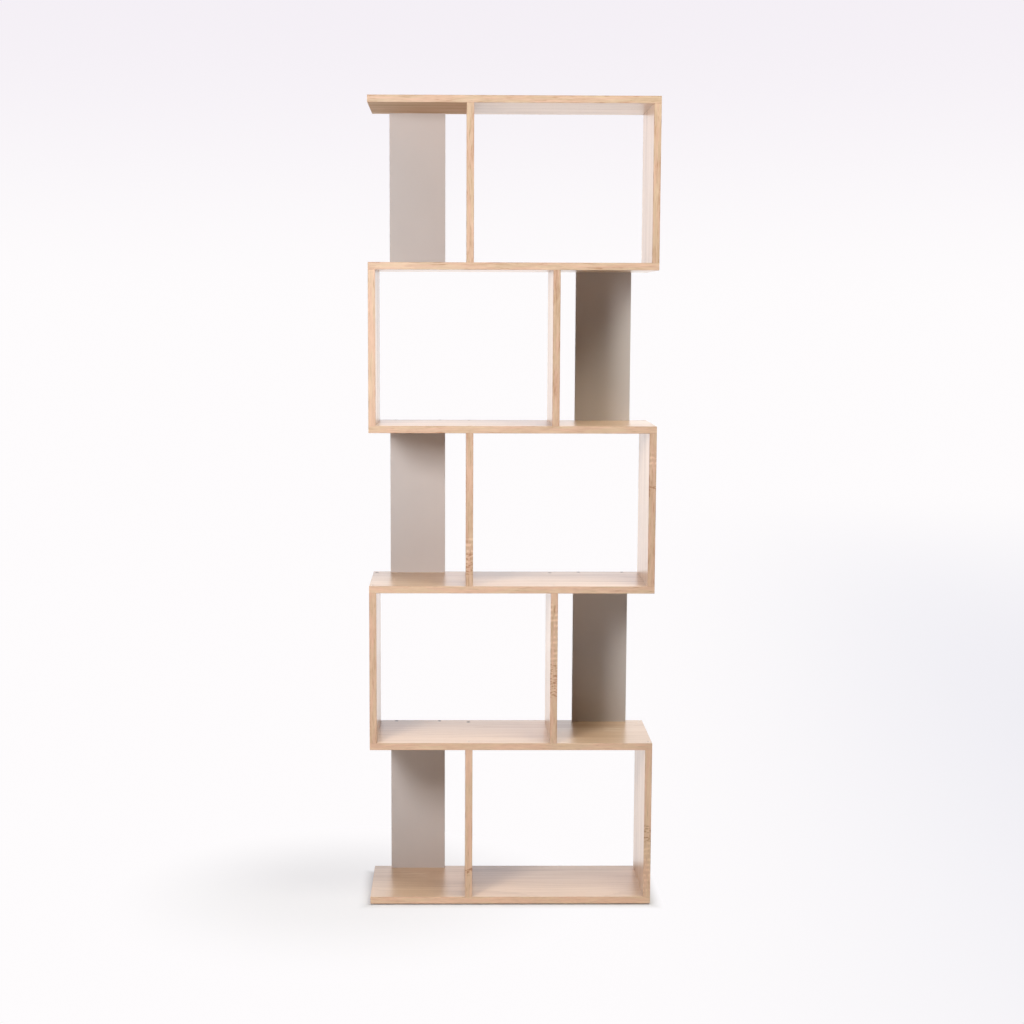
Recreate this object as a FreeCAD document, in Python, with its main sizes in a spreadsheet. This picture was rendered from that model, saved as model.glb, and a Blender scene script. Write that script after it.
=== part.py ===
"""Zigzag bookshelf: five tiers between six full-width boards.

Each tier has a box bay and an open bay with a narrow rear panel, and the two change sides from tier to tier.

Frame: millimetres, +Z up, +Y towards the back, origin on the floor under the middle of the shelf.
"""

import FreeCAD, Part
import os
import Sketcher

TIERS = 5
SOCKET_SIDES = 6

# A sketch numbers the points of its geometry up from 1, and down from -1 the axes that start at its origin
START, END, CENTRE = range(1, 4)
HORIZONTAL_AXIS, VERTICAL_AXIS = range(-1, -3, -1)

# Driving dimensions in millimetres, and one angle in degrees
SIZES = {
    # The carcass
    "width": 600,
    "depth": 230,
    "height": 1700,
    "board": 15,
    "open_bay": 203,
    "rear_width": 120,
    "rear_offset": 38,
    # The edging strips and the broken edge along their outer corners
    "edging": 0.8,
    "arris": 0.4,
    # The screws, their places and the room round them
    "side_screw_inset": 19,
    "rear_screw_inset": 12,
    "screw_head": 8.5,
    "countersink_angle": 90,
    "screw_shoulder": 6.4,
    "shoulder_setback": 3,
    "screw_core": 4.6,
    "screw_length": 50,
    "screw_tip": 4,
    "socket": 4,
    "socket_depth": 2.5,
    "screw_sink": 0.2,
    "screw_clearance": 0.1,
    # The stick-on floor pads
    "floor_pad": 20,
    "floor_pad_height": 3,
    "floor_pad_inset": 30,
}

doc = FreeCAD.newDocument("zigzag_bookshelf")
sheet = doc.addObject("Spreadsheet::Sheet", "sizes")
for row, (alias, value) in enumerate(SIZES.items(), start=1):
    sheet.set(f"A{row}", alias)
    sheet.set(f"B{row}", str(value))
    sheet.setAlias(f"B{row}", alias)
doc.recompute()

# Places and sizes worked out from the sheet, as expressions
LEFT = "(-sizes.width / 2)"
FRONT = "(-sizes.depth / 2)"
TIER_PITCH = f"((sizes.height - sizes.floor_pad_height - sizes.board) / {TIERS})"
CLEAR_HEIGHT = f"({TIER_PITCH} - sizes.board)"
CORE_DEPTH = "(sizes.depth - 2 * sizes.edging)"
SIDE_SCREW_FRONT = "sizes.side_screw_inset"
SIDE_SCREW_BACK = "(sizes.depth - sizes.side_screw_inset)"
REAR_SCREW_NEAR = "sizes.rear_screw_inset"
REAR_SCREW_FAR = "(sizes.rear_width - sizes.rear_screw_inset)"
REAR_SCREW_DEPTH = "(sizes.depth - sizes.board / 2)"

# The screw's head and shoulder, and the holes that it passes through and bites into
HEAD_SLOPE = "tan(sizes.countersink_angle * 1 deg / 2)"
HEAD_DEPTH = f"((sizes.screw_head - sizes.screw_shoulder) / 2 / {HEAD_SLOPE})"
SHOULDER_LENGTH = "(sizes.board - sizes.shoulder_setback)"
SHOULDER_STEP = f"({SHOULDER_LENGTH} + (sizes.screw_shoulder - sizes.screw_core) / 2)"
COUNTERSINK = f"(sizes.screw_head + 2 * sizes.screw_clearance + 2 * sizes.screw_sink * {HEAD_SLOPE})"
SCREW_HOLE = "(sizes.screw_shoulder + 2 * sizes.screw_clearance)"
PILOT_HOLE = "(sizes.screw_core + 2 * sizes.screw_clearance)"
PILOT_DEPTH = "(sizes.screw_length + sizes.screw_sink - sizes.board + sizes.screw_clearance)"

subparts = []


def level(index):
    """Height of the underside of a full-width board, counted from the base panel."""
    return f"(sizes.floor_pad_height + {index} * {TIER_PITCH})"


def across(tier, distance):
    """A distance from the open end of a tier, turned into one from the left side of the shelf."""
    if tier % 2:
        return f"(sizes.width - {distance})"
    return distance


def bind(feature, **formulas):
    for name, formula in formulas.items():
        feature.setExpression(name, formula)


def put(feature, x, y, z, turn=FreeCAD.Rotation()):
    """Places an object by expressions measured from the left front corner and the floor."""
    feature.Placement = FreeCAD.Placement(FreeCAD.Vector(), turn)
    feature.setExpression("Placement.Base.x", f"{LEFT} + {x}")
    feature.setExpression("Placement.Base.y", f"{FRONT} + {y}")
    feature.setExpression("Placement.Base.z", z)


def origin_part(body, role):
    """One of the body's own origin planes or axes."""
    return next(item for item in body.Origin.OriginFeatures if item.Role == role)


def new_sketch(body, name, role):
    sketch = body.newObject("Sketcher::SketchObject", name)
    sketch.AttachmentSupport = [(origin_part(body, role), "")]
    sketch.MapMode = "FlatFace"
    return sketch


def measured(formula):
    """The present value of an expression, to draw a sketch in place before it is dimensioned."""
    return float(sheet.evalExpression(formula))


def dimension(sketch, geometry, point, x, y):
    """Fixes one point of a sketch by its distances from the sketch's origin."""
    for kind, axis, formula in (("DistanceX", VERTICAL_AXIS, x), ("DistanceY", HORIZONTAL_AXIS, y)):
        if formula == "0":
            sketch.addConstraint(Sketcher.Constraint("PointOnObject", geometry, point, axis))
            continue
        place = measured(formula)
        distance = Sketcher.Constraint(kind, HORIZONTAL_AXIS, START, geometry, point, place)
        index = sketch.addConstraint(distance)
        sketch.setExpression(f"Constraints[{index}]", formula)


def draw_outline(body, name, role, corners):
    """A closed outline of straight sides, each corner dimensioned from the origin."""
    sketch = new_sketch(body, name, role)
    points = [FreeCAD.Vector(measured(x), measured(y), 0) for x, y in corners]
    for start, end in zip(points, points[1:] + points[:1]):
        sketch.addGeometry(Part.LineSegment(start, end), False)
    for index, (x, y) in enumerate(corners):
        before = (index - 1) % len(corners)
        sketch.addConstraint(Sketcher.Constraint("Coincident", before, END, index, START))
        dimension(sketch, index, START, x, y)
    return sketch


def draw_circles(body, name, centres, diameter):
    """Equal circles on the body's XY plane, each centre dimensioned from the origin."""
    sketch = new_sketch(body, name, "XY_Plane")
    for index, (x, y) in enumerate(centres):
        middle = FreeCAD.Vector(measured(x), measured(y), 0)
        sketch.addGeometry(Part.Circle(middle, FreeCAD.Vector(0, 0, 1), measured(diameter) / 2), False)
        dimension(sketch, index, CENTRE, x, y)
        size = sketch.addConstraint(Sketcher.Constraint("Diameter", index, measured(diameter)))
        sketch.setExpression(f"Constraints[{size}]", diameter)
    return sketch


def new_body(name):
    body = doc.addObject("PartDesign::Body", name)
    body.Label = name
    return body


def pad(body, name, sketch, length):
    feature = body.newObject("PartDesign::Pad", name)
    feature.Profile = sketch
    bind(feature, Length=length)


def revolve(body, name, corners):
    """A turned piece: an outline in the XZ plane, spun about Z."""
    sketch = draw_outline(body, f"{name}_section", "XZ_Plane", corners)
    feature = body.newObject("PartDesign::Revolution", name)
    feature.Profile = sketch
    feature.ReferenceAxis = (sketch, ["V_Axis"])
    feature.Angle = 360


def core(name, along_x, along_y, height):
    """The rectangular board inside the edging, with its lower left front corner at its own origin."""
    body = new_body(name)
    corners = [("0", "0"), (along_x, "0"), (along_x, along_y), ("0", along_y)]
    sketch = draw_outline(body, f"{name}_outline", "XY_Plane", corners)
    pad(body, f"{name}_board", sketch, height)
    return body


def drill(body, name, centres, diameter, from_above, face="0", depth=None, countersink=None):
    """Flat-bottomed holes, down or up from a face at a height; with no depth they go right through."""
    sketch = draw_circles(body, f"{name}_centres", centres, diameter)
    sketch.setExpression("AttachmentOffset.Base.z", face)
    hole = body.newObject("PartDesign::Hole", name)
    hole.Profile = sketch
    doc.recompute()
    hole.ThreadType = "None"
    hole.DrillPoint = "Flat"
    hole.Reversed = not from_above
    hole.DepthType = "Dimension" if depth else "ThroughAll"
    bind(hole, Diameter=diameter)
    if depth:
        bind(hole, Depth=depth)
    if countersink:
        hole.HoleCutType = "Countersink"
        bind(hole, HoleCutDiameter=countersink, HoleCutCountersinkAngle="sizes.countersink_angle")


def group(name, pieces):
    """Separate solids that share one node."""
    compound = doc.addObject("Part::Compound", name)
    compound.Label = name
    compound.Links = pieces
    subparts.append(compound)


def copy_of(master, name, x, y, z, turn=FreeCAD.Rotation()):
    link = doc.addObject("App::Link", name)
    link.LinkedObject = master
    put(link, x, y, z, turn)
    return link


def edging_strip(name, length):
    """One strip, lying along X with its outer face to the front and both outer corners broken."""
    body = new_body(name)
    corners = [
        ("sizes.edging", "0"),
        ("sizes.edging", "sizes.board"),
        ("sizes.arris", "sizes.board"),
        ("0", "sizes.board - sizes.arris"),
        ("0", "sizes.arris"),
        ("sizes.arris", "0"),
    ]
    sketch = draw_outline(body, f"{name}_section", "YZ_Plane", corners)
    pad(body, f"{name}_run", sketch, length)
    return body


def hexagon(across_flats):
    """Corners of a hexagon about the origin, turned so that none lies on an axis."""
    step = 360 / SOCKET_SIDES
    radius = f"{across_flats} / 2 / cos({step / 2} deg)"
    turns = [step * number + step / 4 for number in range(SOCKET_SIDES)]
    return [(f"({radius} * cos({turn} deg))", f"({radius} * sin({turn} deg))") for turn in turns]


def screw_body():
    """A connecting screw, point down, with its head's face at its own origin; its thread is left plain."""
    body = new_body("screw")
    corners = [
        ("0", "0"),
        ("sizes.screw_head / 2", "0"),
        ("sizes.screw_shoulder / 2", f"-{HEAD_DEPTH}"),
        ("sizes.screw_shoulder / 2", f"-{SHOULDER_LENGTH}"),
        ("sizes.screw_core / 2", f"-{SHOULDER_STEP}"),
        ("sizes.screw_core / 2", "sizes.screw_tip - sizes.screw_length"),
        ("0", "-sizes.screw_length"),
    ]
    revolve(body, "screw_turned", corners)
    socket = body.newObject("PartDesign::Pocket", "screw_socket")
    socket.Profile = draw_outline(body, "screw_socket_outline", "XY_Plane", hexagon("sizes.socket"))
    bind(socket, Length="sizes.socket_depth")
    return body


def floor_pad_body():
    """A low round pad, standing on its own origin."""
    body = new_body("floor_pad")
    sketch = draw_circles(body, "floor_pad_outline", [("0", "0")], "sizes.floor_pad")
    pad(body, "floor_pad_disc", sketch, "sizes.floor_pad_height")
    return body


def screw_places(tier):
    """Where the screws of one tier's uprights go, from the left front corner of the shelf."""
    end_panel = across(tier, "(sizes.width - sizes.board / 2)")
    divider = across(tier, "(sizes.open_bay + sizes.board / 2)")
    sides = [(x, y) for x in (end_panel, divider) for y in (SIDE_SCREW_FRONT, SIDE_SCREW_BACK)]
    rears = [across(tier, f"(sizes.rear_offset + {x})") for x in (REAR_SCREW_NEAR, REAR_SCREW_FAR)]
    return sides + [(x, REAR_SCREW_DEPTH) for x in rears]


def floor_pad_places():
    near = "sizes.floor_pad_inset"
    far_x = "(sizes.width - sizes.floor_pad_inset)"
    far_y = "(sizes.depth - sizes.floor_pad_inset)"
    return [(x, y) for x in (near, far_x) for y in (near, far_y)]


def inside_edging(places):
    """The same places, from the corner of the board inside its edging."""
    return [(f"{x} - sizes.edging", f"{y} - sizes.edging") for x, y in places]


# The strips, screw and floor pad that are copied into their groups
wide_strip = edging_strip("wide_strip", "sizes.width")
deep_strip = edging_strip("deep_strip", CORE_DEPTH)
tall_strip = edging_strip("tall_strip", CLEAR_HEIGHT)
screw = screw_body()
floor_pad = floor_pad_body()

# Turns of a strip, named for the way its outer face then looks
AHEAD, BACK, RIGHT, UP = (FreeCAD.Vector(*axis) for axis in ((0, -1, 0), (0, 1, 0), (1, 0, 0), (0, 0, 1)))
FLAT_FRONT = FreeCAD.Rotation()
FLAT_BACK = FreeCAD.Rotation(UP, 180)
FLAT_LEFT = FreeCAD.Rotation(UP, -90)
FLAT_RIGHT = FreeCAD.Rotation(UP, 90)
UPRIGHT_FRONT = FreeCAD.Rotation(UP, BACK, -RIGHT)
UPRIGHT_BACK = FreeCAD.Rotation(UP, AHEAD, RIGHT)
UPRIGHT_LEFT = FreeCAD.Rotation(UP, RIGHT, BACK)
UPRIGHT_RIGHT = FreeCAD.Rotation(UP, -RIGHT, AHEAD)
HEAD_UP = FreeCAD.Rotation()
HEAD_DOWN = FreeCAD.Rotation(RIGHT, 180)


def full_width_board(index):
    """The base panel, a shelf or the top panel, with its edging and the screws driven through it."""
    name = {0: "base_panel", TIERS: "top_panel"}.get(index, f"shelf_{index}")
    underside = level(index)
    top = f"({underside} + sizes.board)"
    body = core(name, "sizes.width - 2 * sizes.edging", CORE_DEPTH, "sizes.board")
    put(body, "sizes.edging", "sizes.edging", underside)
    subparts.append(body)
    screws = []
    for tier, from_above, face, head, turn in (
        (index - 1, True, "sizes.board", f"{top} - sizes.screw_sink", HEAD_UP),
        (index, False, "0", f"{underside} + sizes.screw_sink", HEAD_DOWN),
    ):
        if tier not in range(TIERS):
            continue
        label = f"{name}_tier_{tier + 1}"
        centres = inside_edging(screw_places(tier))
        drill(body, f"{label}_holes", centres, SCREW_HOLE, from_above, face, countersink=COUNTERSINK)
        for number, (x, y) in enumerate(screw_places(tier), start=1):
            screws.append(copy_of(screw, f"{label}_screw_{number}", x, y, head, turn))
    group(f"{name}_screws", screws)
    strips = [
        copy_of(wide_strip, f"{name}_front_strip", "0", "0", underside, FLAT_FRONT),
        copy_of(wide_strip, f"{name}_back_strip", "sizes.width", "sizes.depth", underside, FLAT_BACK),
        copy_of(deep_strip, f"{name}_left_strip", "0", "sizes.depth - sizes.edging", underside, FLAT_LEFT),
        copy_of(deep_strip, f"{name}_right_strip", "sizes.width", "sizes.edging", underside, FLAT_RIGHT),
    ]
    group(f"{name}_edging", strips)


def upright(name, along_x, along_y, pilots):
    """The board inside the edging of an end panel, divider or rear panel, with pilot holes in both ends."""
    body = core(name, along_x, along_y, CLEAR_HEIGHT)
    drill(body, f"{name}_lower_pilots", pilots, PILOT_HOLE, False, "0", PILOT_DEPTH)
    drill(body, f"{name}_upper_pilots", pilots, PILOT_HOLE, True, CLEAR_HEIGHT, PILOT_DEPTH)
    subparts.append(body)
    return body


def side_panel(name, tier, distance):
    """An end panel or a divider; distance runs from the open end of the tier to its nearer face."""
    left = across(tier, distance)
    if tier % 2:
        left = f"({left} - sizes.board)"
    bottom = f"({level(tier)} + sizes.board)"
    pilots = [("sizes.board / 2", f"{y} - sizes.edging") for y in (SIDE_SCREW_FRONT, SIDE_SCREW_BACK)]
    body = upright(name, "sizes.board", CORE_DEPTH, pilots)
    put(body, left, "sizes.edging", bottom)
    strips = [
        copy_of(tall_strip, f"{name}_front_strip", f"{left} + sizes.board", "0", bottom, UPRIGHT_FRONT),
        copy_of(tall_strip, f"{name}_back_strip", left, "sizes.depth", bottom, UPRIGHT_BACK),
    ]
    group(f"{name}_edging", strips)


def rear_panel(name, tier):
    """The narrow panel at the back edge of the open bay."""
    left = across(tier, "sizes.rear_offset")
    if tier % 2:
        left = f"({left} - sizes.rear_width)"
    bottom = f"({level(tier)} + sizes.board)"
    right = f"({left} + sizes.rear_width)"
    front = "(sizes.depth - sizes.board)"
    pilots = [(f"{x} - sizes.edging", "sizes.board / 2") for x in (REAR_SCREW_NEAR, REAR_SCREW_FAR)]
    body = upright(name, "sizes.rear_width - 2 * sizes.edging", "sizes.board", pilots)
    put(body, f"{left} + sizes.edging", front, bottom)
    strips = [
        copy_of(tall_strip, f"{name}_left_strip", left, front, bottom, UPRIGHT_LEFT),
        copy_of(tall_strip, f"{name}_right_strip", right, "sizes.depth", bottom, UPRIGHT_RIGHT),
    ]
    group(f"{name}_edging", strips)


for index in range(TIERS + 1):
    full_width_board(index)
for tier in range(TIERS):
    side_panel(f"end_panel_{tier + 1}", tier, "(sizes.width - sizes.board)")
    side_panel(f"divider_{tier + 1}", tier, "sizes.open_bay")
    rear_panel(f"rear_panel_{tier + 1}", tier)
pads = [
    copy_of(floor_pad, f"floor_pad_{number}", x, y, "0")
    for number, (x, y) in enumerate(floor_pad_places(), start=1)
]
group("floor_pads", pads)
doc.recompute()

for item in doc.Objects:
    if "Invalid" in item.State or "Error" in item.State:
        raise RuntimeError(f"{item.Label} failed: {item.State}")
for item in subparts:
    if item.Shape.isNull() or not item.Shape.isValid():
        raise RuntimeError(f"{item.Label} has no valid shape")

os.makedirs("parts", exist_ok=True)
for item in subparts:
    item.Shape.exportStep(f"parts/{item.Label}.step")
    print(item.Label, len(item.Shape.Solids), round(item.Shape.Volume))
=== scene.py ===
"""The looks of the zigzag bookshelf: finishes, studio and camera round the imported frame, in metres."""

import math

import bpy
from mathutils import Color, Matrix, Vector


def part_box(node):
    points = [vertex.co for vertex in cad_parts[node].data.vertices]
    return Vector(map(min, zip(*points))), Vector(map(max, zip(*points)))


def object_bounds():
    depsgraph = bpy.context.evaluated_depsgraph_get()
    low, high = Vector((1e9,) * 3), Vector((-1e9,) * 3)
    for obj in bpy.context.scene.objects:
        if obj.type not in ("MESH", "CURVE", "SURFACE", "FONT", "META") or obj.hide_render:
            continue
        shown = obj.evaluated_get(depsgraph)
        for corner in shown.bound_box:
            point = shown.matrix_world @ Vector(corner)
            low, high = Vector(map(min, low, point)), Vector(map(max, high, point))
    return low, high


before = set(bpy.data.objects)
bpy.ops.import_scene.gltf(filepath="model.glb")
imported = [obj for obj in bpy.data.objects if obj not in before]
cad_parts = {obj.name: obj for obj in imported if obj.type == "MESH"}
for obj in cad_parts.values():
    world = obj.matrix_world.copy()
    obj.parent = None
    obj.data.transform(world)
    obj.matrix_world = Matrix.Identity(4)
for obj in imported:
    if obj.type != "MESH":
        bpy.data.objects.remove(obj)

cad_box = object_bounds()
TIERS = 5

# The camera, fitted to the board edges in the photograph: its place in metres and its turns in radians
CAMERA_PLACE = Vector((-0.11724, -4.04017, 1.26128))
CAMERA_YAW = -0.01320
CAMERA_PITCH = 0.12612
CAMERA_ROLL = 0.00318

# The picture: its side, focal length and view centre in pixels, and the sensor's width in millimetres
PICTURE_SIDE_PX = 1024
FOCAL_PX = 1888.6
VIEW_CENTRE_PX = Vector((480.95, 552.0))
SENSOR_WIDTH_MM = 36.0

# The backdrop, white and greyer towards its top, behind a dim room: it shows in full in reflections, but
# lights the shelf only faintly
BACKDROP_COLOUR = (0.99, 0.97, 0.98, 1.0)
BACKDROP_TOP_COLOUR = (0.91, 0.87, 0.92, 1.0)
BACKDROP_TOP_SLOPE = 0.16
BACKDROP_LIGHT = 0.02
ROOM_LIGHT = 0.01
ROOM_EDGE = 0.25

# The floor, white like the backdrop: it keeps part of the shadow round a centre at the shelf's left, and
# all of it under the base
FLOOR_COLOUR = (0.8, 0.787, 0.795, 1.0)
FLOOR_SIDE = 40.0
FLOOR_GLOW_SHARE = 0.74
FLOOR_SHADE_CENTRE = (-0.36, -0.04, 0.0)
FLOOR_SHADE_FADE = (0.1, 0.54)
BASE_SHADE_REACH = 0.03

# A cool painted shade to the right on the floor, deepest at its centre and gone far from it
SIDE_SHADE_COLOUR = (0.855, 0.845, 0.895, 1.0)
SIDE_SHADE_STRETCH = (0.1, 1.8)
SIDE_SHADE_SLANT = 0.1
SIDE_SHADE_CENTRE = (1.8, 0.6, 0.0)
SIDE_SHADE_REACH = (0.3, 9.0)

# Light Path's outputs for rays from the camera, off gloss and through glass
RAY_KINDS = ("Is Camera Ray", "Is Glossy Ray", "Is Transmission Ray")

# The lamps: width, height, place, aim, power in watts and colour
DAYLIGHT = (1.0, 1.01, 1.03)
WARM = (1.0, 1.0, 0.89)
COOL = (0.95, 1.0, 1.05)
SHELF_MIDDLE = (0.0, 0.0, 0.95)
SHELF_FOOT = (0.3, 0.0, 0.4)
LAMPS = {
    "key_softbox": (0.62, 0.62, (-1.05, -1.7, 1.55), SHELF_FOOT, 33.5, DAYLIGHT),
    "overhead_softbox": (1.1, 1.1, (0.95, -0.85, 2.8), SHELF_MIDDLE, 36.5, WARM),
    "backdrop_lamp": (4.0, 2.6, (0.0, 3.0, 1.3), (0.0, 0.0, 1.3), 25.0, COOL),
    "low_backdrop_lamp": (4.0, 2.86, (0.0, 1.57, 0.02), (0.0, 1.57, 1.0), 20.5, COOL),
}

# The top level of a colour as the eye reads it, the middle of the noise, and the numbers that the Mix node
# gives its two colours and their mixture
FULL_LEVEL = 255
NOISE_MEAN = 0.5
MIX_FIRST = 6
MIX_SECOND = 7
MIX_RESULT = 2


def linear(red, green, blue):
    """A colour given as the eye reads it, 0 to 255, turned into linear light."""
    colour = Color((red / FULL_LEVEL, green / FULL_LEVEL, blue / FULL_LEVEL))
    return (*colour.from_srgb_to_scene_linear(), 1.0)


class Socket:
    """An output of a node that Python's operators work on: each operation adds one Math node."""

    def __init__(self, tree, output):
        self.tree = tree
        self.output = output

    def __add__(self, other):
        return self.tree.math("ADD", self, other)

    def __radd__(self, other):
        return self.tree.math("ADD", other, self)

    def __sub__(self, other):
        return self.tree.math("SUBTRACT", self, other)

    def __rsub__(self, other):
        return self.tree.math("SUBTRACT", other, self)

    def __mul__(self, other):
        return self.tree.math("MULTIPLY", self, other)

    def __rmul__(self, other):
        return self.tree.math("MULTIPLY", other, self)

    def __truediv__(self, other):
        return self.tree.math("DIVIDE", self, other)

    def __rtruediv__(self, other):
        return self.tree.math("DIVIDE", other, self)

    def __pow__(self, other):
        return self.tree.math("POWER", self, other)

    def __abs__(self):
        return self.tree.math("ABSOLUTE", self)


class Tree:
    """A node tree, filled through one method that makes, sets and links a node."""

    def __init__(self, owner):
        owner.use_nodes = True
        self.nodes = owner.node_tree.nodes
        self.links = owner.node_tree.links

    def node(self, kind, settings=None, inputs=None, output=0):
        node = self.nodes.new(kind)
        for name, value in (settings or {}).items():
            if name == "stops":
                self.set_stops(node.color_ramp, value)
            else:
                setattr(node, name, value)
        for key, value in (inputs or {}).items():
            self.plug(node.inputs[key], value)
        return Socket(self, node.outputs[output])

    def set_stops(self, ramp, stops):
        """Gives a colour ramp its stops; a new ramp has two of its own."""
        for stop in stops[:-2]:
            ramp.elements.new(stop[0])
        for element, (place, colour) in zip(ramp.elements, stops):
            element.position = place
            element.color = colour

    def plug(self, target, value):
        if isinstance(value, Socket):
            self.links.new(value.output, target)
        else:
            target.default_value = value

    def outputs(self, socket, names):
        """Several outputs of the node that a socket belongs to."""
        return [Socket(self, socket.output.node.outputs[name]) for name in names]

    def math(self, operation, *values):
        return self.node("ShaderNodeMath", {"operation": operation}, dict(enumerate(values)))

    def vector(self, operation, *values, output=0):
        return self.node("ShaderNodeVectorMath", {"operation": operation}, dict(enumerate(values)), output)

    def distance(self, first, second):
        return self.vector("DISTANCE", first, second, output="Value")

    def split(self, vector):
        return self.outputs(self.node("ShaderNodeSeparateXYZ", None, {0: vector}), "XYZ")

    def join(self, x, y, z):
        return self.node("ShaderNodeCombineXYZ", None, {0: x, 1: y, 2: z})

    def object_place(self):
        return self.node("ShaderNodeTexCoord", output="Object")

    def mix_colour(self, factor, first, second):
        inputs = {"Factor": factor, MIX_FIRST: first, MIX_SECOND: second}
        return self.node("ShaderNodeMix", {"data_type": "RGBA"}, inputs, MIX_RESULT)

    def ramp(self, value, stops):
        return self.node("ShaderNodeValToRGB", {"stops": stops}, {0: value})

    def step(self, value, low, high):
        """Rises smoothly from 0 at the low value to 1 at the high one."""
        settings = {"interpolation_type": "SMOOTHSTEP"}
        inputs = {"Value": value, "From Min": low, "From Max": high}
        return self.node("ShaderNodeMapRange", settings, inputs)

    def window(self, value, low, high, fade):
        """1 between the low and the high value, fading to 0 outside them."""
        return self.step(value, low - fade, low) * (1 - self.step(value, high, high + fade))

    def noise(self, place, scales, detail=2.0):
        """Noise between 0 and 1, with so many swells to the metre each way."""
        stretched = self.vector("MULTIPLY", place, scales)
        return self.node("ShaderNodeTexNoise", None, {"Vector": stretched, "Scale": 1.0, "Detail": detail})

    def bump(self, height, distance, strength):
        inputs = {"Height": height, "Distance": distance, "Strength": strength}
        return self.node("ShaderNodeBump", None, inputs)


class Finish(Tree):
    """A material that ends in one Principled shader."""

    def __init__(self, name):
        self.material = bpy.data.materials.new(name)
        super().__init__(self.material)

    def set(self, inputs):
        shader = self.nodes["Principled BSDF"]
        for name, value in inputs.items():
            self.plug(shader.inputs[name], value)
        return self.material


# Oak, as printed on the boards' faces and on their edging, dark to light
OAK_FACE_STOPS = [
    (0.0, linear(164, 127, 94)),
    (0.34, linear(203, 167, 134)),
    (0.62, linear(221, 188, 157)),
    (1.0, linear(236, 209, 182)),
]
OAK_EDGE_STOPS = [
    (0.0, linear(176, 131, 100)),
    (0.34, linear(205, 172, 144)),
    (0.62, linear(218, 186, 158)),
    (1.0, linear(231, 200, 171)),
]

# Each board has a seed, which moves its coordinates to a stretch of wood of its own
OAK_SHIFTS = (3.71, 1.37, 0.83)
FIRST_SHELF_SEED = 1
UPRIGHT_SEEDS = {"end_panel": 11, "divider": 21}
EDGING_SEED_SHIFT = 0.5

# The gloss of the faces and of the edging: rougher in the pores, and on the faces in the dark grain too
FACE_ROUGHNESS = 0.285
FACE_PORE_ROUGHNESS = 0.12
FACE_DARK_ROUGHNESS = 0.05
FACE_RELIEF = 0.6
FACE_IOR = 1.54
EDGE_ROUGHNESS = 0.36
EDGE_PORE_ROUGHNESS = 0.1
EDGE_RELIEF = 0.5
EDGE_IOR = 1.46

# The grain's layers: swells to the metre along and across it, and how far each moves the tone
MEAN_TONE = 0.56
GRAIN_LAYERS = [
    ((1.6, 22.0, 22.0), 0.75),
    ((4.0, 75.0, 75.0), 0.45),
    ((7.0, 420.0, 420.0), 0.3),
]
EDGE_GRAIN_LAYERS = [
    ((16.0, 60.0, 60.0), 0.5),
    ((22.0, 270.0, 270.0), 0.7),
    ((60.0, 600.0, 600.0), 0.6),
]

# Hairlines on the edging: dark dashes along its grain; and along its broken corners a glue line and
# painted shade
HAIRLINE_SCALES = (32.0, 480.0, 480.0)
HAIRLINE_LIMITS = (0.58, 0.72)
HAIRLINE_SHADE = 0.34
ARRIS_REACH = 0.0018
ARRIS_GLUE_LINE_AND_SHADE = 0.28

# The edging's drift between a rosy and a yellow oak
EDGE_TINT_SCALES = (14.0, 110.0, 110.0)
EDGE_TINT_LIMITS = (0.36, 0.64)
EDGE_ROSY = (1.03, 0.972, 0.972, 1.0)
EDGE_YELLOW = (0.985, 1.012, 0.965, 1.0)

# The edging is a little redder at the shelf's foot than at its top, painted light: the top's strips look
# more brightly lit
EDGE_FOOT_PAINTED_LIGHT = (1.03, 0.97, 0.965, 1.0)
EDGE_TOP_PAINTED_LIGHT = (0.975, 0.995, 1.06, 1.0)

# How far each board's edging is paler than the rest: full-width boards by name, uprights by kind and tier
# Mostly painted light and shade, paler low down and darker high up for how brightly each tier is lit
SHELF_EDGE_TONE_AND_PAINTED_LIGHT = {
    "base_panel": 0.34,
    "shelf_1": 0.14,
    "shelf_2": 0.15,
    "shelf_4": -0.03,
    "top_panel": -0.09,
}
UPRIGHT_EDGE_TONE_AND_PAINTED_LIGHT = {
    "end_panel": (0.18, 0.0, -0.12, 0.02, -0.12),
    "divider": (0.13, 0.0, -0.12, -0.17, -0.14),
}

# How far one board's faces are paler than the rest: painted light, standing in for more light on them
FACE_PAINTED_LIGHT = {"shelf_1": 0.1}

# Pores: short dark dashes along the grain, crowded in places
PORE_SCALES = (55.0, 1900.0, 1900.0)
PORE_CROWD_SCALES = (3.0, 60.0, 60.0)
PORE_CROWD = 0.3
PORE_LIMITS = (0.62, 0.72)
PORE_SHADE = 0.15
PORE_DEPTH = 0.00006

# Growth rings: pointed arches round hearts that lie side by side across the board
RING_WIDTH = 0.0085
RING_SHADE = 0.16
RING_SHARPNESS = 3.0
HEART_SPACING = 0.11
HEART_SWAY = 0.09
HEART_SWAY_SCALES = (1.3, 5.0, 5.0)
HEART_DEPTH_LEAST = 0.03
HEART_DEPTH_SPREAD = 0.12
HEART_DEPTH_SCALES = (0.9, 1.0, 1.0)
RIPPLE_SCALES = (5.0, 45.0, 45.0)
RIPPLE = 1.6

# Ray flecks on an upright's front edging, from one height to another: pale dabs, like a ladder
FLECK_PITCH = 0.0115
FLECK_WANDER_SCALES = (14.0, 30.0, 30.0)
FLECK_WANDER = 1.1
FLECK_PATCH_SCALES = (60.0, 170.0, 170.0)
FLECK_PATCH_LIMITS = (0.38, 0.6)
FLECK_LIGHT = 0.62
FLECK_SHARPNESS = 2.0
FLECK_GROUND = 0.1
FLECK_FADE = 0.008
LADDERS = {
    "divider_2": (0.525, 0.65),
    "divider_3": (0.74, 0.79),
    "end_panel_1": (0.03, 0.138),
    "end_panel_3": (0.946, 0.968),
}

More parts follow.
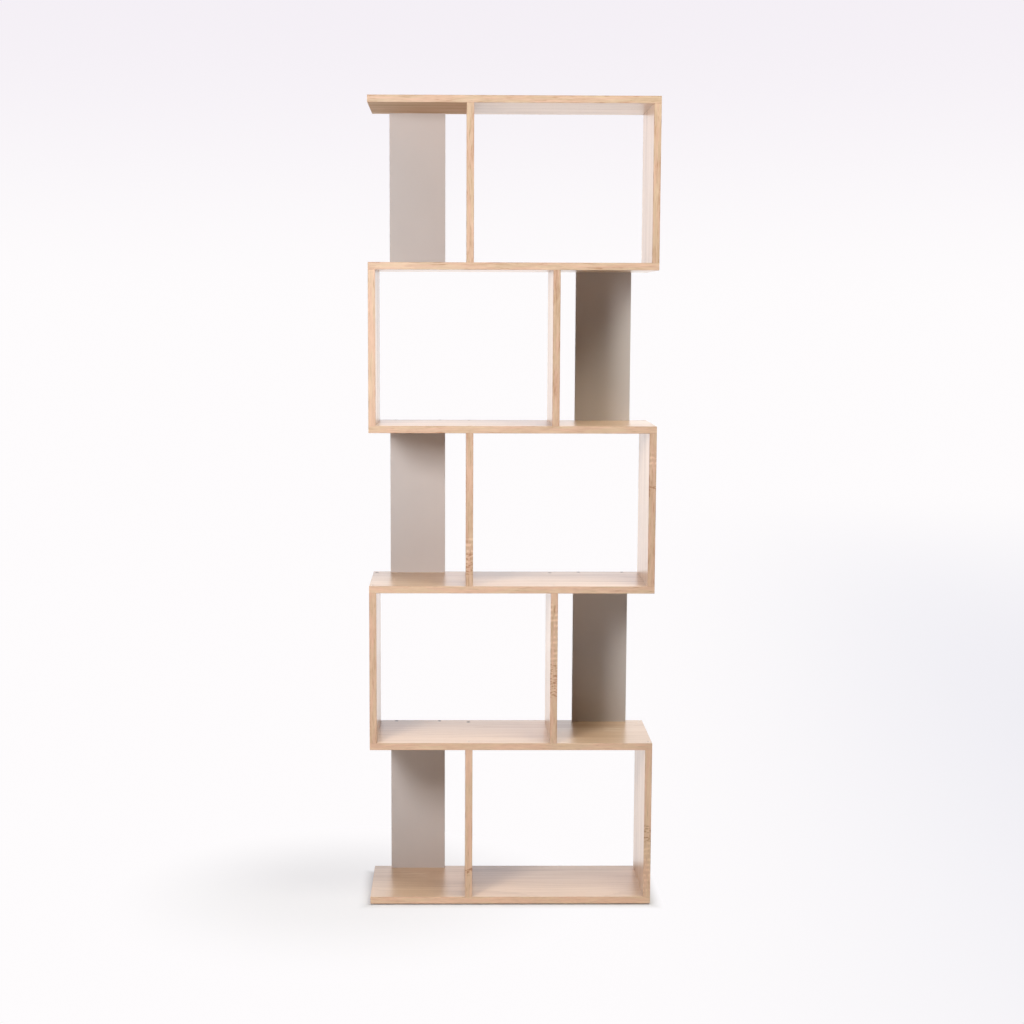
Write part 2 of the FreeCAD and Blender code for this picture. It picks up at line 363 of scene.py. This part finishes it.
# Stretches of fine dark ticks on an upright's front edging
TICK_SCALES = (330.0, 110.0, 110.0)
TICK_LIMITS = (0.46, 0.66)
TICK_SHADE = 0.65
TICKED = {
    "divider_1": (0.07, 0.08),
    "divider_2": (0.458, 0.525),
    "divider_3": (0.72, 0.757),
    "end_panel_1": (0.143, 0.172),
    "end_panel_3": (0.896, 0.899),
}

# Pale strokes in two boards' figure: middle, reach and swells to the metre, each along X and Y
FIGURE_SPOTS = {
    "base_panel": ((-0.209, 0.051), (0.024, 0.012), (16.0, 95.0)),
    "shelf_1": ((0.228, 0.025), (0.014, 0.02), (30.0, 80.0)),
}
FIGURE_FADE = 0.014
FIGURE_LIMITS = (0.36, 0.72)
FIGURE_LIGHT = 0.4

# The underside of the top panel, duller and darker than the other faces, the darkening being painted
# shade:
# fully so outside the box bay, and by a share inside it
UNDERSIDE_SKIN = 0.002
UNDERSIDE_DULLNESS = 0.55
UNDERSIDE_PAINTED_SHADE = 0.12
UNDERSIDE_BAY_SHARE = 0.1


def wood_place(tree, along, across, depth, seed):
    """Coordinates whose X runs along the grain, moved to the seed's stretch of wood."""
    return tree.vector("ADD", tree.join(along, across, depth), tuple(seed * shift for shift in OAK_SHIFTS))


def grain_tone(tree, place, layers, offset):
    """The grain's tone, from 0 for dark to 1 for light, moved by an offset."""
    tone = MEAN_TONE + offset
    for scales, strength in layers:
        tone = tone + (tree.noise(place, scales) - NOISE_MEAN) * strength
    return tone


def oak_pores(tree, place):
    """1 in a pore, 0 between."""
    crowd = tree.noise(place, PORE_CROWD_SCALES) - NOISE_MEAN
    return tree.step(tree.noise(place, PORE_SCALES) + crowd * PORE_CROWD, *PORE_LIMITS)


def oak_rings(tree, place):
    """Rises from 0 to 1 through each year and falls back at its end."""
    across = tree.split(place)[1]
    sway = tree.noise(place, HEART_SWAY_SCALES) * HEART_SWAY
    from_heart = tree.math("PINGPONG", across + sway, HEART_SPACING)
    heart_depth = HEART_DEPTH_LEAST + tree.noise(place, HEART_DEPTH_SCALES) * HEART_DEPTH_SPREAD
    radius = tree.math("SQRT", from_heart * from_heart + heart_depth * heart_depth)
    year = tree.math("FRACT", radius / RING_WIDTH + tree.noise(place, RIPPLE_SCALES) * RIPPLE)
    return year ** RING_SHARPNESS


def dull_and_shaded_top_underside(finish, x, z):
    """Where the top panel's underside is dull and painted in shade: 1 outside its box bay, less inside, 0
    elsewhere.
    """
    divider_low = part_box(f"divider_{TIERS}")[0]
    outside = finish.math("LESS_THAN", x, divider_low.x)
    under = finish.math("LESS_THAN", z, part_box("top_panel")[0].z + UNDERSIDE_SKIN)
    return (UNDERSIDE_BAY_SHARE + outside * (1 - UNDERSIDE_BAY_SHARE)) * under


def figure_spot(finish, x, y, middle, reach, scales):
    """Pale strokes round one place on a shelf."""
    strokes = finish.noise(finish.join(x, y, 0.0), scales + (1.0,))
    light = finish.step(strokes, *FIGURE_LIMITS) * FIGURE_LIGHT
    for value, centre, half in zip((x, y), middle, reach):
        light = light * finish.window(value, centre - half, centre + half, FIGURE_FADE)
    return light


def oak_board(board, seed, upright):
    """A board's faces: grain along the length of a shelf, or up an upright."""
    finish = Finish(f"oak_{board}")
    x, y, z = finish.split(finish.object_place())
    place = wood_place(finish, z, y, x, seed) if upright else wood_place(finish, x, y, z, seed)
    pores = oak_pores(finish, place)
    shade = oak_rings(finish, place) * RING_SHADE + pores * PORE_SHADE
    # Painted light: shelf_1's faces paler than the rest
    tone = grain_tone(finish, place, GRAIN_LAYERS, FACE_PAINTED_LIGHT.get(board, 0.0)) - shade
    roughness = FACE_ROUGHNESS + pores * FACE_PORE_ROUGHNESS
    if board in FIGURE_SPOTS:
        tone = tone + figure_spot(finish, x, y, *FIGURE_SPOTS[board])
    if board == "top_panel":
        underside = dull_and_shaded_top_underside(finish, x, z)
        # Painted shade darkens the underside; its dullness is roughness
        tone = tone - underside * UNDERSIDE_PAINTED_SHADE
        roughness = roughness + underside * UNDERSIDE_DULLNESS
    return finish.set({
        "Base Color": finish.ramp(tone, OAK_FACE_STOPS),
        "Roughness": roughness + (1 - tone) * FACE_DARK_ROUGHNESS,
        "Normal": finish.bump(1 - pores, PORE_DEPTH, FACE_RELIEF),
        "IOR": FACE_IOR,
    })


def edging_finish(finish, place, z, from_corner, offset):
    """Oak edging; from_corner is the distance to the strip's nearer long corner, offset moves the tone."""
    pores = oak_pores(finish, place)
    hairlines = finish.step(finish.noise(place, HAIRLINE_SCALES), *HAIRLINE_LIMITS)
    # A glue line and painted shade along the strip's long corners
    glue_line_and_shade = 1 - finish.step(from_corner, 0.0, ARRIS_REACH)
    shade = pores * PORE_SHADE + hairlines * HAIRLINE_SHADE + glue_line_and_shade * ARRIS_GLUE_LINE_AND_SHADE
    # The offset holds the board's painted light and shade, with an upright's flecks and ticks
    tone = grain_tone(finish, place, EDGE_GRAIN_LAYERS, offset) - shade
    drift = finish.step(finish.noise(place, EDGE_TINT_SCALES), *EDGE_TINT_LIMITS)
    tint = finish.mix_colour(drift, EDGE_ROSY, EDGE_YELLOW)
    # Painted light by height: paler and cooler towards the top
    painted_height_light = finish.mix_colour(z / cad_box[1].z, EDGE_FOOT_PAINTED_LIGHT, EDGE_TOP_PAINTED_LIGHT)
    colour = finish.vector("MULTIPLY", finish.ramp(tone, OAK_EDGE_STOPS), tint)
    return finish.set({
        "Base Color": finish.vector("MULTIPLY", colour, painted_height_light),
        "Roughness": EDGE_ROUGHNESS + pores * EDGE_PORE_ROUGHNESS,
        "Normal": finish.bump(1 - pores, PORE_DEPTH, EDGE_RELIEF),
        "IOR": EDGE_IOR,
    })


def oak_shelf_edging(board, seed):
    """Strips round a shelf: grain along X on the front and the back, along Y on the two ends."""
    finish = Finish(f"oak_{board}_edging")
    board_low, board_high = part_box(board)
    x, y, z = finish.split(finish.object_place())
    corner = cad_box[1]
    at_end = finish.math("GREATER_THAN", abs(x) - corner.x, abs(y) - corner.y)
    along = x + (y - x) * at_end
    across = y + (x - y) * at_end
    from_corner = finish.math("MINIMUM", z - board_low.z, board_high.z - z)
    place = wood_place(finish, along, across, z, seed)
    # The board's painted light and shade, partly its own tone, passed as the offset
    return edging_finish(finish, place, z, from_corner, SHELF_EDGE_TONE_AND_PAINTED_LIGHT.get(board, 0.0))


def ladder_flecks(finish, place, z, stretch):
    """Pale dabs at even steps up the strip."""
    turns = z / FLECK_PITCH + finish.noise(place, FLECK_WANDER_SCALES) * FLECK_WANDER
    patches = finish.step(finish.noise(place, FLECK_PATCH_SCALES), *FLECK_PATCH_LIMITS)
    waves = (finish.math("SINE", turns * math.tau) + 1) / 2
    dabs = waves ** FLECK_SHARPNESS * patches
    return (dabs * FLECK_LIGHT - FLECK_GROUND) * finish.window(z, *stretch, FLECK_FADE)


def dark_ticks(finish, place, z, stretch):
    """Short dark marks across the strip."""
    ticks = finish.step(finish.noise(place, TICK_SCALES), *TICK_LIMITS)
    return ticks * finish.window(z, *stretch, FLECK_FADE) * TICK_SHADE


def oak_upright_edging(kind, tier, seed):
    """Strips on an upright's front and back, with flecks in front where this upright has them."""
    upright = f"{kind}_{tier}"
    finish = Finish(f"oak_{upright}_edging")
    x, y, z = finish.split(finish.object_place())
    place = wood_place(finish, z, x, y, seed)
    board_low, board_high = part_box(upright)
    from_corner = finish.math("MINIMUM", x - board_low.x, board_high.x - x)
    in_front = finish.math("LESS_THAN", y, 0.0)
    # The tier's painted light and shade, partly the strip's own tone
    offset = UPRIGHT_EDGE_TONE_AND_PAINTED_LIGHT[kind][tier - 1]
    if upright in LADDERS:
        offset = offset + ladder_flecks(finish, place, z, LADDERS[upright]) * in_front
    if upright in TICKED:
        offset = offset - dark_ticks(finish, place, z, TICKED[upright]) * in_front
    return edging_finish(finish, place, z, from_corner, offset)


# Taupe, on the rear panels and, a little rougher, on their edging
TAUPE_DARK = linear(200, 190, 185)
TAUPE_LIGHT = linear(210, 201, 196)
TAUPE_CLOUDS = (7.0, 9.0, 9.0)
TAUPE_CLOUD_DETAIL = 3.0
TAUPE_CLOUD_SHARE = 0.7
TAUPE_SPECKLE = (1400.0, 1400.0, 1400.0)
TAUPE_PEEL = (520.0, 520.0, 520.0)
TAUPE_PEEL_DEPTH = 0.00003
TAUPE_PEEL_RELIEF = 0.4
TAUPE_PANEL_ROUGHNESS = 0.42
TAUPE_EDGING_ROUGHNESS = 0.46
TAUPE_ROUGHNESS_DRIFT = 0.08
TAUPE_IOR = 1.48
TAUPE_PANEL_SEED = 31
TAUPE_EDGING_SEED = 41


def taupe(name, roughness, seed):
    """Plain taupe: faint clouds, a fine speckle and a slight orange peel."""
    finish = Finish(name)
    x, y, z = finish.split(finish.object_place())
    place = wood_place(finish, z, y, x, seed)
    clouds = finish.noise(place, TAUPE_CLOUDS, TAUPE_CLOUD_DETAIL)
    speckle = finish.noise(place, TAUPE_SPECKLE)
    shade = clouds * TAUPE_CLOUD_SHARE + speckle * (1 - TAUPE_CLOUD_SHARE)
    return finish.set({
        "Base Color": finish.mix_colour(shade, TAUPE_DARK, TAUPE_LIGHT),
        "Roughness": roughness + (clouds - NOISE_MEAN) * TAUPE_ROUGHNESS_DRIFT,
        "Normal": finish.bump(finish.noise(place, TAUPE_PEEL), TAUPE_PEEL_DEPTH, TAUPE_PEEL_RELIEF),
        "IOR": TAUPE_IOR,
    })


# Steel of the screws in a shaded and a lit copy: painted shade on the heads along the back edge,
# painted light on those in front and at the right end
STEEL_SHADED_DARK = linear(60, 57, 55)
STEEL_SHADED_LIGHT = linear(98, 94, 91)
STEEL_LIT_DARK = linear(212, 194, 178)
STEEL_LIT_LIGHT = linear(236, 218, 202)
STEEL_RIGHT_END = 0.27
STEEL_BLOTCHES = (420.0, 420.0, 420.0)
STEEL_BLOTCH_DETAIL = 3.0
STEEL_SCRATCHES = (2600.0, 300.0, 900.0)
STEEL_SCRATCH_DEPTH = 0.00002
STEEL_SCRATCH_RELIEF = 0.4
STEEL_ROUGHNESS = 0.3
STEEL_SCRATCH_ROUGHNESS = 0.2


def screw_steel():
    """Zinc-plated steel, a little uneven, with painted light in front and painted shade at the back."""
    finish = Finish("zinc_plated_steel")
    place = finish.object_place()
    x, y = finish.split(place)[:2]
    blotches = finish.noise(place, STEEL_BLOTCHES, STEEL_BLOTCH_DETAIL)
    scratches = finish.noise(place, STEEL_SCRATCHES)
    shaded_steel = finish.mix_colour(blotches, STEEL_SHADED_DARK, STEEL_SHADED_LIGHT)
    lit_steel = finish.mix_colour(blotches, STEEL_LIT_DARK, STEEL_LIT_LIGHT)
    # Painted shade on the heads along the back edge, left of the right end; painted light on the rest
    in_painted_shade = finish.math("GREATER_THAN", y, 0.0) * finish.math("LESS_THAN", x, STEEL_RIGHT_END)
    return finish.set({
        "Base Color": finish.mix_colour(in_painted_shade, lit_steel, shaded_steel),
        "Metallic": 1.0,
        "Roughness": STEEL_ROUGHNESS + scratches * STEEL_SCRATCH_ROUGHNESS,
        "Normal": finish.bump(scratches, STEEL_SCRATCH_DEPTH, STEEL_SCRATCH_RELIEF),
    })


# Foam of the floor pads
FOAM_DARK = linear(38, 36, 35)
FOAM_LIGHT = linear(66, 63, 60)
FOAM_CELLS = 1600.0
FOAM_CELL_DEPTH = 0.0003
FOAM_RELIEF = 0.7
FOAM_ROUGHNESS = 0.85


def pad_foam():
    """Dark closed-cell foam."""
    finish = Finish("dark_foam")
    inputs = {"Vector": finish.object_place(), "Scale": FOAM_CELLS}
    cells = finish.node("ShaderNodeTexVoronoi", None, inputs)
    return finish.set({
        "Base Color": finish.mix_colour(cells, FOAM_DARK, FOAM_LIGHT),
        "Roughness": FOAM_ROUGHNESS,
        "Normal": finish.bump(cells, FOAM_CELL_DEPTH, FOAM_RELIEF),
    })


def dress(name, material):
    """Gives one node of the frame its material."""
    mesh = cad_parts[name].data
    mesh.materials.clear()
    mesh.materials.append(material)


def dress_shelves():
    shelves = ["base_panel"] + [f"shelf_{number}" for number in range(1, TIERS)] + ["top_panel"]
    steel = screw_steel()
    for seed, name in enumerate(shelves, start=FIRST_SHELF_SEED):
        dress(name, oak_board(name, seed, upright=False))
        dress(f"{name}_edging", oak_shelf_edging(name, seed + EDGING_SEED_SHIFT))
        dress(f"{name}_screws", steel)


def dress_uprights():
    for kind, first_seed in UPRIGHT_SEEDS.items():
        for tier in range(1, TIERS + 1):
            name = f"{kind}_{tier}"
            seed = first_seed + tier
            dress(name, oak_board(name, seed, upright=True))
            dress(f"{name}_edging", oak_upright_edging(kind, tier, seed + EDGING_SEED_SHIFT))


def dress_rear_panels():
    for tier in range(1, TIERS + 1):
        panel = taupe(f"taupe_panel_{tier}", TAUPE_PANEL_ROUGHNESS, TAUPE_PANEL_SEED + tier)
        edging = taupe(f"taupe_edging_{tier}", TAUPE_EDGING_ROUGHNESS, TAUPE_EDGING_SEED + tier)
        dress(f"rear_panel_{tier}", panel)
        dress(f"rear_panel_{tier}_edging", edging)


def ray_kinds(tree):
    """Sockets that are 1 for rays from the camera, off gloss and through glass, in this order."""
    return tree.outputs(tree.node("ShaderNodeLightPath"), RAY_KINDS)


def build_world():
    """A white backdrop behind the shelf and a dim room in front of it; the camera sees white all round."""
    world = bpy.data.worlds.new("studio")
    bpy.context.scene.world = world
    tree = Tree(world)
    y, z = tree.split(tree.node("ShaderNodeTexCoord", output="Generated"))[1:]
    behind = tree.step(y, -ROOM_EDGE, ROOM_EDGE)
    colour = tree.mix_colour(tree.step(z, 0.0, BACKDROP_TOP_SLOPE), BACKDROP_COLOUR, BACKDROP_TOP_COLOUR)
    camera, glossy, through = ray_kinds(tree)
    seen = tree.math("MAXIMUM", camera, through)
    backdrop = BACKDROP_LIGHT + glossy * (1 - BACKDROP_LIGHT)
    lighting = ROOM_LIGHT + behind * (backdrop - ROOM_LIGHT)
    background = tree.nodes["Background"]
    tree.plug(background.inputs["Color"], colour)
    tree.plug(background.inputs["Strength"], seen + (1 - seen) * lighting)


def build_lamps():
    for name, (width, height, place, aim, power, colour) in LAMPS.items():
        light = bpy.data.lights.new(name, "AREA")
        light.shape = "RECTANGLE"
        light.size = width
        light.size_y = height
        light.energy = power
        light.color = colour
        lamp = bpy.data.objects.new(name, light)
        lamp.location = place
        lamp.rotation_euler = (Vector(aim) - Vector(place)).to_track_quat("-Z", "Y").to_euler()
        lamp.visible_camera = False
        bpy.context.scene.collection.objects.link(lamp)


def floor_glow_share(tree, place, x, y):
    """How far the floor looks like the backdrop: less near the shadow's centre, and not under the base."""
    corner = cad_box[1]
    outside = tree.math("MAXIMUM", abs(x) - corner.x, abs(y) - corner.y)
    open_floor = tree.step(outside, -BASE_SHADE_REACH / 2, BASE_SHADE_REACH)
    far = tree.step(tree.distance(place, FLOOR_SHADE_CENTRE), *FLOOR_SHADE_FADE)
    return open_floor * (FLOOR_GLOW_SHARE + (1 - FLOOR_GLOW_SHARE) * far)


def floor_glow_colour(tree, place, x, y):
    """The backdrop's white, with the cool painted shade to the right."""
    side = tree.step(x - y * SIDE_SHADE_SLANT, *SIDE_SHADE_STRETCH)
    far = tree.step(tree.distance(place, SIDE_SHADE_CENTRE), *SIDE_SHADE_REACH)
    return tree.mix_colour(side * (1 - far), BACKDROP_COLOUR, SIDE_SHADE_COLOUR)


def floor_finish():
    """Matt white that looks like the backdrop, keeps part of the shadow and stays dark under the base."""
    material = bpy.data.materials.new("studio_floor")
    tree = Tree(material)
    tree.nodes.remove(tree.nodes["Principled BSDF"])
    place = tree.object_place()
    x, y = tree.split(place)[:2]
    camera, glossy, through = ray_kinds(tree)
    seen = tree.math("MAXIMUM", tree.math("MAXIMUM", camera, glossy), through)
    share = seen * floor_glow_share(tree, place, x, y)
    matt = tree.node("ShaderNodeBsdfDiffuse", None, {"Color": FLOOR_COLOUR})
    glow = tree.node("ShaderNodeEmission", None, {"Color": floor_glow_colour(tree, place, x, y)})
    surface = tree.node("ShaderNodeMixShader", None, {0: share, 1: matt, 2: glow})
    tree.plug(tree.nodes["Material Output"].inputs["Surface"], surface)
    return material


def build_floor():
    bpy.ops.object.select_all(action="DESELECT")
    bpy.ops.mesh.primitive_plane_add(size=FLOOR_SIDE, location=(0, 0, 0))
    floor = bpy.context.object
    floor.name = "studio_floor"
    floor.data.materials.append(floor_finish())


def build_camera():
    data = bpy.data.cameras.new("camera")
    camera = bpy.data.objects.new("camera", data)
    yaw_cos, yaw_sin = math.cos(CAMERA_YAW), math.sin(CAMERA_YAW)
    pitch_cos, pitch_sin = math.cos(CAMERA_PITCH), math.sin(CAMERA_PITCH)
    level_right = Vector((yaw_cos, yaw_sin, 0))
    level_up = Vector((-yaw_sin * pitch_sin, yaw_cos * pitch_sin, pitch_cos))
    right = level_right * math.cos(CAMERA_ROLL) + level_up * math.sin(CAMERA_ROLL)
    up = level_up * math.cos(CAMERA_ROLL) - level_right * math.sin(CAMERA_ROLL)
    turn = Matrix((right, up, right.cross(up))).transposed()
    camera.matrix_world = Matrix.Translation(CAMERA_PLACE) @ turn.to_4x4()
    data.sensor_width = SENSOR_WIDTH_MM
    data.lens = FOCAL_PX / PICTURE_SIDE_PX * SENSOR_WIDTH_MM
    middle = PICTURE_SIDE_PX / 2
    data.shift_x = (middle - VIEW_CENTRE_PX.x) / PICTURE_SIDE_PX
    data.shift_y = (VIEW_CENTRE_PX.y - middle) / PICTURE_SIDE_PX
    bpy.context.scene.collection.objects.link(camera)
    bpy.context.scene.camera = camera


dress_shelves()
dress_uprights()
dress_rear_panels()
dress("floor_pads", pad_foam())
build_world()
build_lamps()
build_floor()
build_camera()
bpy.context.scene.view_settings.view_transform = "Standard"
